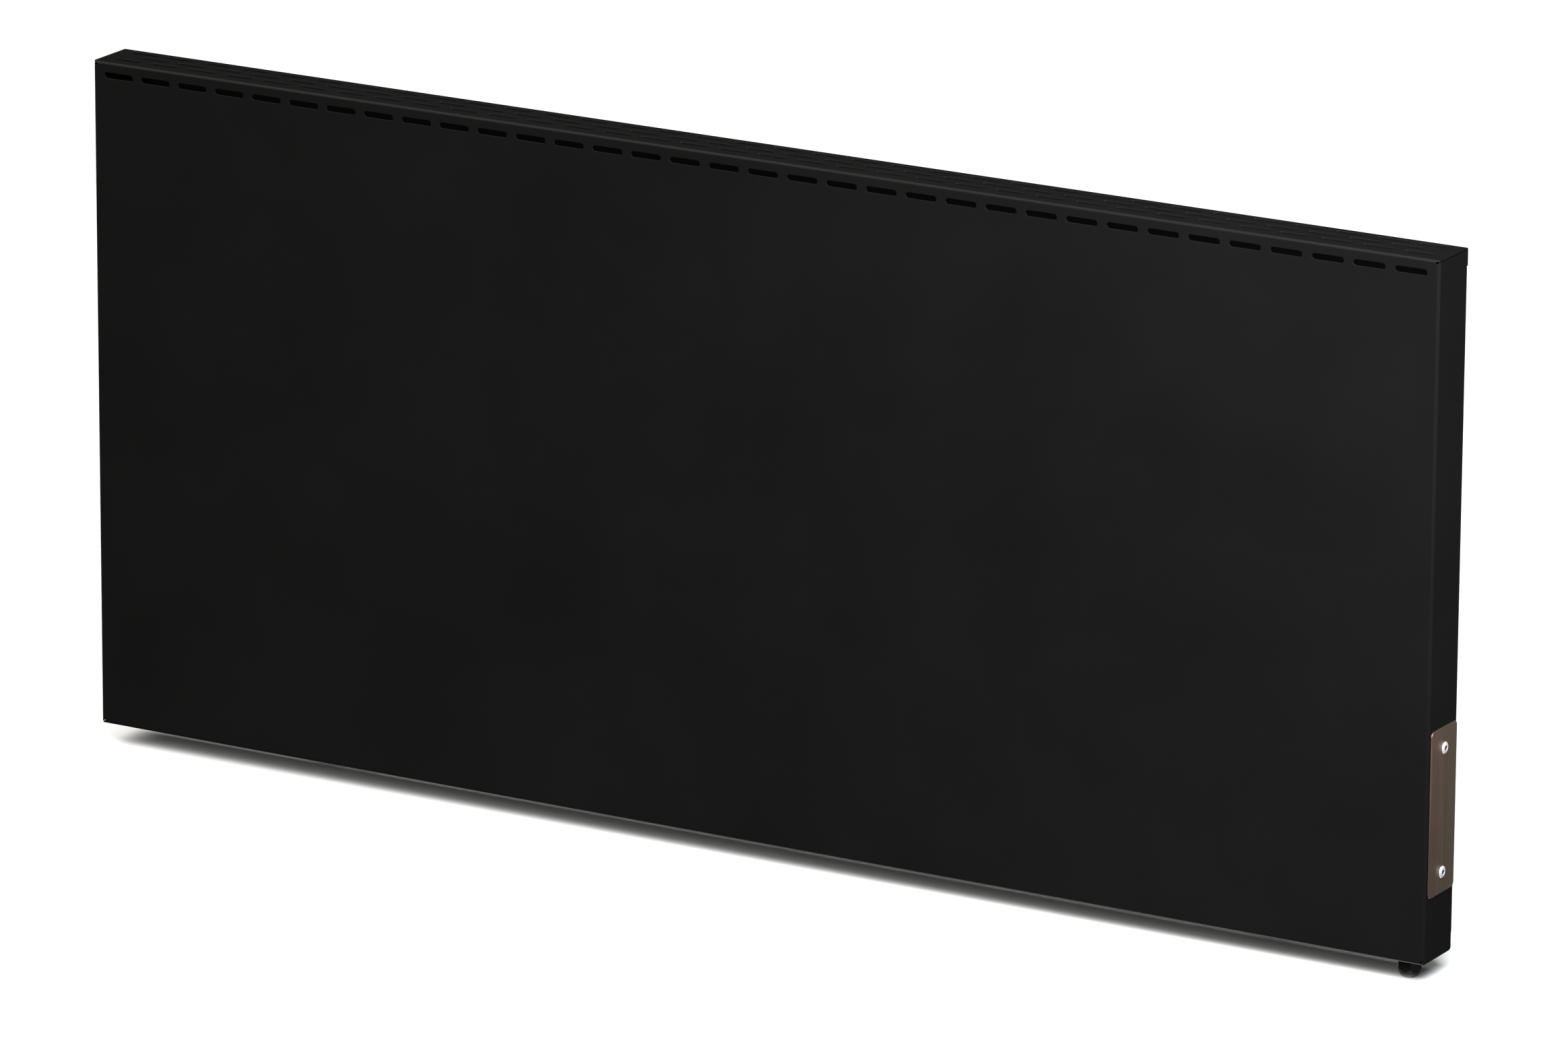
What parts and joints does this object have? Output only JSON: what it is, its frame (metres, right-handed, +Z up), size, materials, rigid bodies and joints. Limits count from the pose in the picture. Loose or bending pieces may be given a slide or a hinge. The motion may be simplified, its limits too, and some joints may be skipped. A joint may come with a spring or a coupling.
{
  "type": "electric panel heater",
  "caption": "Slim wall-hung electric panel heater: folded sheet-steel casing with rows of air slots, ceramic heating stack, cable gland and a hook-on wall rail.",
  "frame": {"origin": "centre of the wall rail's back face, on the wall plane", "axes": "+X towards the right-hand end as seen from the room, -Y out of the wall towards the room, so the front face looks along -Y, +Z up"},
  "size_m": [1.0026, 0.058, 0.475],
  "materials": {
    "black_powder_coat": "satin black powder coat with a very fine texture",
    "zinc_plated_steel": "bright zinc plating",
    "zinc_screw": "zinc-plated pan-head screw",
    "brushed_nameplate": "brushed along its length, warm grey",
    "rivet_aluminium": "bright",
    "black_nylon": "moulded, satin",
    "black_rubber": "matt",
    "mill_aluminium": "mill finish",
    "grey_ceramic": "unglazed",
    "mineral_wool": "felted fibre",
    "white_ceramic": "glazed",
    "phenolic": "moulded",
    "lead_brown": "silicone-insulated wire",
    "lead_blue": "silicone-insulated wire",
    "lead_green": "silicone-insulated wire",
    "brass": "plain"
  },
  "bodies": {
    "wall_mounting": {"wall_rail": "zinc_plated_steel"},
    "heater": {"buffer_screw_left": "zinc_screw", "buffer_screw_right": "zinc_screw", "cover_screw_1": "zinc_screw", "cover_screw_2": "zinc_screw", "cover_screw_3": "zinc_screw", "cover_screw_4": "zinc_screw", "cover_screw_5": "zinc_screw", "cover_screw_6": "zinc_screw", "cover_screw_7": "zinc_screw", "cover_screw_8": "zinc_screw", "cutout_bracket": "zinc_plated_steel", "earth_lug": "brass", "earth_nut": "brass", "earth_stud": "zinc_plated_steel", "earth_washer": "zinc_plated_steel", "element_post_left_1": "brass", "element_post_left_2": "brass", "element_post_right_1": "brass", "element_post_right_2": "brass", "element_rail_lower": "zinc_plated_steel", "element_rail_upper": "zinc_plated_steel", "front_casing": "black_powder_coat", "gland_body": "black_nylon", "gland_dome_nut": "black_nylon", "gland_locknut": "black_nylon", "gland_seal": "black_rubber", "hanger_left": "black_powder_coat", "hanger_right": "black_powder_coat", "hanger_rivet_1": "rivet_aluminium", "hanger_rivet_2": "rivet_aluminium", "hanger_rivet_3": "rivet_aluminium", "hanger_rivet_4": "rivet_aluminium", "heat_spreader_left": "mill_aluminium", "heat_spreader_right": "mill_aluminium", "heating_element_left": "grey_ceramic", "heating_element_right": "grey_ceramic", "insulation_mat_left": "mineral_wool", "insulation_mat_right": "mineral_wool", "lead_earth": "lead_green", "lead_link": "lead_brown", "lead_live": "lead_brown", "lead_neutral": "lead_blue", "lead_switched": "lead_brown", "nameplate": "brushed_nameplate", "nameplate_rivet_lower": "rivet_aluminium", "nameplate_rivet_upper": "rivet_aluminium", "rear_cover": "black_powder_coat", "reflector_sheet": "mill_aluminium", "terminal_block": "white_ceramic", "terminal_bracket": "zinc_plated_steel", "terminal_screw_1": "brass", "terminal_screw_2": "brass", "terminal_screw_3": "brass", "thermal_cutout": "phenolic", "wall_buffer_left": "black_rubber", "wall_buffer_right": "black_rubber"}
  },
  "joints": [
    {"name": "lift_off", "type": "slide", "parent": "wall_mounting", "child": "heater", "axis": [0, 0, 1], "range_m": [0, 0.014]}
  ]
}
